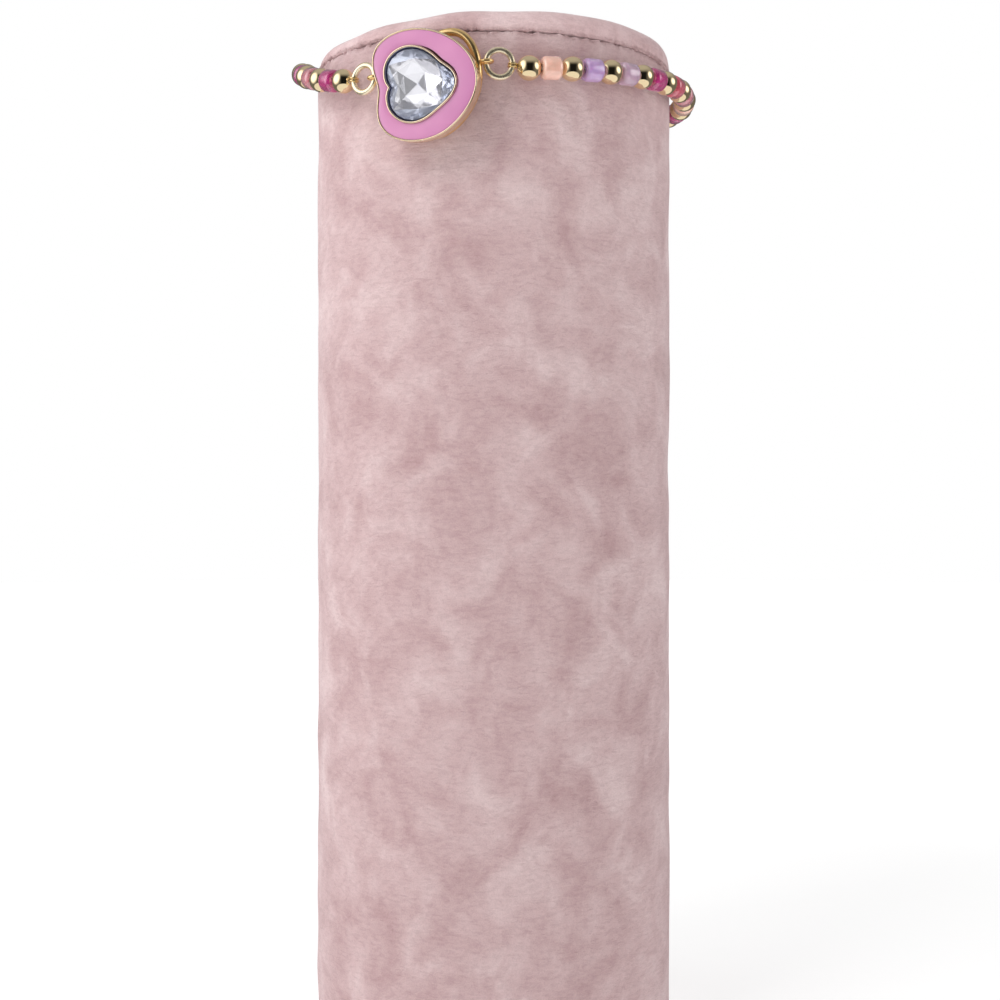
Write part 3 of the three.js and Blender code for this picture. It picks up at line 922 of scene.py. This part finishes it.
# Hard gloss enamel, with the faintest drift in its pink and a very shallow orange peel.
orchid_enamel = new_material(
    "orchid_enamel",
    {
        "Roughness": 0.09,
        "IOR": 1.52,
        "Coat Weight": 0.5,
        "Coat Roughness": 0.03,
        "Subsurface Weight": 0.1,
        "Subsurface Radius": (0.6 * MM, 0.3 * MM, 0.5 * MM),
        "Subsurface Scale": 1.0,
    },
)
drift = object_noise(orchid_enamel, 0.2)
pinks = [(0.3, (0.575, 0.225, 0.42)), (0.7, (0.645, 0.265, 0.465))]
feed(orchid_enamel, colour_ramp(orchid_enamel, drift, pinks), "Base Color")
bump(orchid_enamel, object_noise(orchid_enamel, 0.8), 0.01 * MM, 0.4)

inwards = np.linspace(0, 1, enamel_rows)[:, None, None]
enamel_outside = heart(tray_heart, -rim_width - enamel_gap)
shrunk = np.exp(-(((round_stone - shrunk_middle) / shrunk_width) ** 4))[:, None]
near_stone = heart(stone_heart, bezel_outer + enamel_gap)
shrunk_stone = heart(stone_heart, bezel_outer + enamel_gap + shrunk_gap)
enamel_inside = near_stone + shrunk * (shrunk_stone - near_stone)
across_fill = (1 - inwards) * enamel_outside + inwards * enamel_inside
swell = 1 - np.abs(2 * inwards - 1) ** dome_fullness
surface_height = enamel_edge + enamel_dome * swell + 0 * across_fill[..., :1]
enamel_surface = np.concatenate([across_fill, surface_height], axis=-1)
enamel_bottom = tray_floor + enamel_gap
bottom_rows = [raised(outline, enamel_bottom) for outline in (enamel_outside, enamel_inside)]
enamel_grid = chained(bottom_rows[:1], enamel_surface, bottom_rows[1:])
enamel = skin("enamel", [orchid_enamel], (on_charm(enamel_grid, heart_rest_turn), True))
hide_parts("enamel_fill")
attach(enamel, "spinner")

# ---- Heart crystal
# A faceted heart of clear glass, foiled with silver behind so that light entering its front is
# thrown back. It is held in the pocket by the bezel's edge.

girdle_low = 2.55 * MM
girdle_high = 2.70 * MM
table_height = 3.5 * MM
culet_height = 1.66 * MM
girdle_corners = 32
crown_sectors = 8
table_share = 0.6
crown_middle_share = 0.82
crown_middle_height = 3.16 * MM
pavilion_sectors = 4
pavilion_inner_share = 0.46
pavilion_inner_height = 1.983 * MM
pavilion_middle_share = 0.68
pavilion_middle_height = 2.29 * MM


def foil_material(name, colour, metallic):
    """Foil baked on the glass, in the colour given: partly a mirror, a little cloudy and mottled.
    """
    material = new_material(name, {"Base Color": (*colour, 1), "Metallic": metallic})
    mottle = object_noise(material, 1.2, detail=3)
    feed(material, ranged(material, mottle, (0, 1), (0.03, 0.12)), "Roughness")
    return material


girdle = heart(stone_heart)[:: heart_columns // girdle_corners]


def facet_ring(share, height, sectors, shift):
    """One point for each sector: the girdle's point there, drawn in to a share of its distance
    from the middle, at a height. The shift, in sectors, is from the notch to the first point."""
    step = girdle_corners // sectors
    picked = girdle[(np.arange(sectors) * step + int(shift * step)) % girdle_corners]
    return raised(stone_middle + share * (picked - stone_middle), height)


def half_stone(inner, middle, edge, centre):
    """The facets of one side of the stone, as triangles (n, 3, 3): the flat or pointed middle,
    star facets round it, a kite at each corner, and two fans from each kite's side to the edge."""
    sectors = len(inner)
    sector = girdle_corners // sectors
    k = np.arange(sectors)
    after = (k + 1) % sectors
    corner = edge[k * sector]
    fan = np.arange(girdle_corners)
    triangles = [
        (np.broadcast_to(centre, inner.shape), inner, inner[after]),
        (inner[after], inner, middle),
        (middle[k - 1], corner, inner),
        (corner, middle, inner),
        (np.repeat(middle, sector, axis=0), edge[fan], edge[(fan + 1) % girdle_corners]),
    ]
    return chained(*[np.stack(group, axis=1) for group in triangles])


crown = half_stone(
    facet_ring(table_share, table_height, crown_sectors, 0),
    facet_ring(crown_middle_share, crown_middle_height, crown_sectors, 0.5),
    raised(girdle, girdle_high),
    np.array([*stone_middle, table_height]),
)
half_sector = girdle_corners // pavilion_sectors // 2
pavilion = half_stone(
    facet_ring(pavilion_inner_share, pavilion_inner_height, pavilion_sectors, 0.5),
    facet_ring(pavilion_middle_share, pavilion_middle_height, pavilion_sectors, 1),
    np.roll(raised(girdle, girdle_low), -half_sector, axis=0),
    np.array([*stone_middle, culet_height]),
)[:, ::-1]
edge_low, edge_high = raised(girdle, girdle_low), raised(girdle, girdle_high)
edge_next_low, edge_next_high = np.roll(edge_low, -1, axis=0), np.roll(edge_high, -1, axis=0)
belt = chained(
    np.stack([edge_low, edge_next_low, edge_next_high], axis=1),
    np.stack([edge_low, edge_next_high, edge_high], axis=1),
)
facets = chained(crown, belt, pavilion)
facet_groups = [len(crown) + len(belt), len(pavilion) - girdle_corners, girdle_corners]

# Clear glass with the least trace of blue.
clear_crystal = new_material(
    "clear_crystal",
    {
        "Base Color": (0.97, 0.98, 1.0, 1),
        "Roughness": 0.0,
        "IOR": 1.56,
        "Transmission Weight": 1.0,
    },
)
bump(clear_crystal, object_noise(clear_crystal, 0.5), 0.002 * MM, 0.2)

# The pavilion's middle takes the silver foil; its outer fans take a paler foil tinted blue, a
# painted reflection standing for the bluish light at the stone's edge.
silver_foil = foil_material("silver_foil", (0.88, 0.87, 0.90), 0.72)
edge_foil_painted_blue_reflection = foil_material("edge_foil_painted_blue_reflection", (0.82, 0.86, 1.0), 0.62)
crystal = mesh_piece(
    "crystal",
    [clear_crystal, silver_foil, edge_foil_painted_blue_reflection],
    on_charm(facets.reshape(-1, 3), heart_rest_turn),
    np.arange(3 * len(facets)).reshape(-1, 3),
    sharp=2,
    finish=np.repeat([0, 1, 2], facet_groups),
)
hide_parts("heart_crystal")
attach(crystal, "spinner")

# ---- Studio
# A white floor and a white surround. A wide lamp at each side and a small one above light cloth,
# glass and enamel. Metal mirrors the surround: two softboxes, a dark gap in front and a table top.

floor_radius = 1.2
floor_corners = 64
glow_reach = (0.08, 0.5)
glow_levels = (0.72, 1.0)

floor_white = new_material(
    "floor_white",
    {"Base Color": (0.45, 0.45, 0.45, 1), "Roughness": 0.8, "Emission Color": (1, 1, 1, 1)},
)
floor_place = add_node(floor_white, "ShaderNodeTexCoord")
floor_reach = add_node(floor_white, "ShaderNodeVectorMath", operation="LENGTH")
join(floor_white, floor_place.outputs["Object"], floor_reach.inputs["Vector"])
smooth = {"interpolation_type": "SMOOTHSTEP"}
floor_glow = ranged(floor_white, floor_reach.outputs["Value"], glow_reach, glow_levels, **smooth)
feed(floor_white, floor_glow, "Emission Strength")
floor_edge = turned(np.array([[floor_radius]]), np.zeros((1, 1)), floor_corners)[0]
floor = mesh_piece("floor", [floor_white], floor_edge, np.arange(floor_corners)[None])
floor.visible_glossy = False

lamps = [
    {"name": "key", "turn": -75, "elevation": 22, "size": (0.95, 0.85), "radiance": 1.25},
    {"name": "fill", "turn": 62, "elevation": 14, "size": (0.56, 0.6), "radiance": 1.45},
    {"name": "top", "turn": -46, "elevation": 44, "size": (0.24, 0.24), "radiance": 6.6},
]
lamp_distance = 0.6
lamps_look_at = np.array([0, 0, 0.09])


def towards(turn, elevation):
    """The direction at a turn and an elevation in degrees, as a vector of length 1."""
    turn, elevation = np.radians(turn), np.radians(elevation)
    flat = np.cos(elevation)
    return np.array([np.sin(turn) * flat, -np.cos(turn) * flat, np.sin(elevation)])


for row in lamps:
    lamp = bpy.data.lights.new(row["name"], "AREA")
    lamp.shape = "RECTANGLE"
    lamp.size, lamp.size_y = row["size"]
    lamp.energy = row["radiance"] * np.pi * lamp.size * lamp.size_y
    lamp_object = bpy.data.objects.new(row["name"], lamp)
    for ray in ("camera", "glossy", "transmission"):
        setattr(lamp_object, f"visible_{ray}", False)
    bpy.context.collection.objects.link(lamp_object)
    away = lamp_distance * towards(row["turn"], row["elevation"])
    lamp_object.location = lamps_look_at + away
    lamp_object.rotation_euler = np.radians([90 - row["elevation"], 0, row["turn"]])

room_level = 0.3
mirrored_room_loss = 0.14
mirrored_sky_gain = 0.3
sky_fade = (0.35, 0.98)
glass_room_gain = 0.6
dark_level = 0.01
dark_glass_gain = 0.25
dark_left_fade = (-0.66, -0.24)
dark_right_fade = (0.44, 0.84)
dark_front_fade = (-0.2, 0)
dark_top_fade = (0.36, 0.92)
table_level = 0.9
table_fade = (-0.63, -0.59)
softboxes = [
    {"turn": -72, "elevation": 14, "full": 8, "none": 48, "level": 1.75},
    {"turn": 77, "elevation": 12, "full": 2, "none": 30, "level": 1.75},
]
world = bpy.data.worlds.new("studio")
bpy.context.scene.world = world
world.use_nodes = True


def combined(operation, first, second):
    """A sum on two of the world's values, each an output or a number."""
    made = add_node(world, "ShaderNodeMath", operation=operation)
    for socket, value in zip(made.inputs, (first, second)):
        if isinstance(value, (int, float)):
            socket.default_value = value
        else:
            join(world, value, socket)
    return made.outputs["Value"]


def product(*values):
    """The world's values multiplied together."""
    total = values[0]
    for value in values[1:]:
        total = combined("MULTIPLY", total, value)
    return total


def below(source, start, stop):
    """1 where a value of the world's is under start, 0 over stop, and smooth between."""
    return ranged(world, source, (start, stop), (1, 0), **smooth)


def above(source, start, stop):
    """0 where a value of the world's is under start, 1 over stop, and smooth between."""
    return combined("SUBTRACT", 1, below(source, start, stop))


def swapped(first, second, amount):
    """The first of two of the world's values where amount is 0, the second where it is 1."""
    return combined("ADD", first, product(amount, combined("SUBTRACT", second, first)))


def softbox(facing, turn, elevation, full, none, level):
    """What a round soft light adds: its level within full degrees of its middle, less and less
    out to none degrees."""
    middle = {1: towards(turn, elevation)}
    nearness = add_node(world, "ShaderNodeVectorMath", middle, operation="DOT_PRODUCT")
    join(world, facing, nearness.inputs[0])
    far, near = np.cos(np.radians(none)), np.cos(np.radians(full))
    return product(above(nearness.outputs["Value"], far, near), level)


seen = add_node(world, "ShaderNodeLightPath")
mirrored, in_glass = seen.outputs["Is Glossy Ray"], seen.outputs["Is Transmission Ray"]
direction = add_node(world, "ShaderNodeTexCoord").outputs["Generated"]
parts = add_node(world, "ShaderNodeSeparateXYZ")
join(world, direction, parts.inputs["Vector"])
rightwards, backwards, skywards = parts.outputs
sky = product(above(skywards, *sky_fade), mirrored_sky_gain)
mirrored_gain = product(mirrored, combined("SUBTRACT", sky, mirrored_room_loss))
bare_room = combined("ADD", mirrored_gain, product(in_glass, glass_room_gain))
bare_room = combined("ADD", bare_room, room_level)
in_gap = product(above(rightwards, *dark_left_fade), below(rightwards, *dark_right_fade))
in_gap = product(in_gap, below(backwards, *dark_front_fade), below(skywards, *dark_top_fade))
dark_room = combined("ADD", product(in_glass, dark_glass_gain), dark_level)
room = swapped(bare_room, dark_room, in_gap)
glow = 0
for row in softboxes:
    glow = combined("ADD", glow, softbox(direction, **row))
room = combined("ADD", room, product(glow, combined("MAXIMUM", mirrored, in_glass)))
surround = world.node_tree.nodes["Background"]
surround.inputs["Color"].default_value = (1, 1, 1, 1)
room = swapped(room, table_level, below(skywards, *table_fade))
join(world, room, surround.inputs["Strength"])
backdrop = add_node(world, "ShaderNodeBackground", {"Color": (1, 1, 1, 1), "Strength": 1.0})
choose = add_node(world, "ShaderNodeMixShader")
join(world, seen.outputs["Is Camera Ray"], choose.inputs["Fac"])
join(world, surround.outputs["Background"], choose.inputs[1])
join(world, backdrop.outputs["Background"], choose.inputs[2])
world_output = world.node_tree.nodes["World Output"]
join(world, choose.outputs["Shader"], world_output.inputs["Surface"])

camera_distance = 220 * MM
camera_height = 71.7 * MM
camera_aside = 0.87 * MM
camera_data = bpy.data.cameras.new("camera")
camera_data.lens = 56.6
camera_data.sensor_width = 36
camera_data.clip_start = 10 * MM
camera = bpy.data.objects.new("camera", camera_data)
camera.location = (camera_aside, -camera_distance, camera_height)
camera.rotation_euler = (np.pi / 2, 0, 0)
bpy.context.collection.objects.link(camera)
bpy.context.scene.camera = camera
bpy.context.scene.view_settings.view_transform = "Standard"
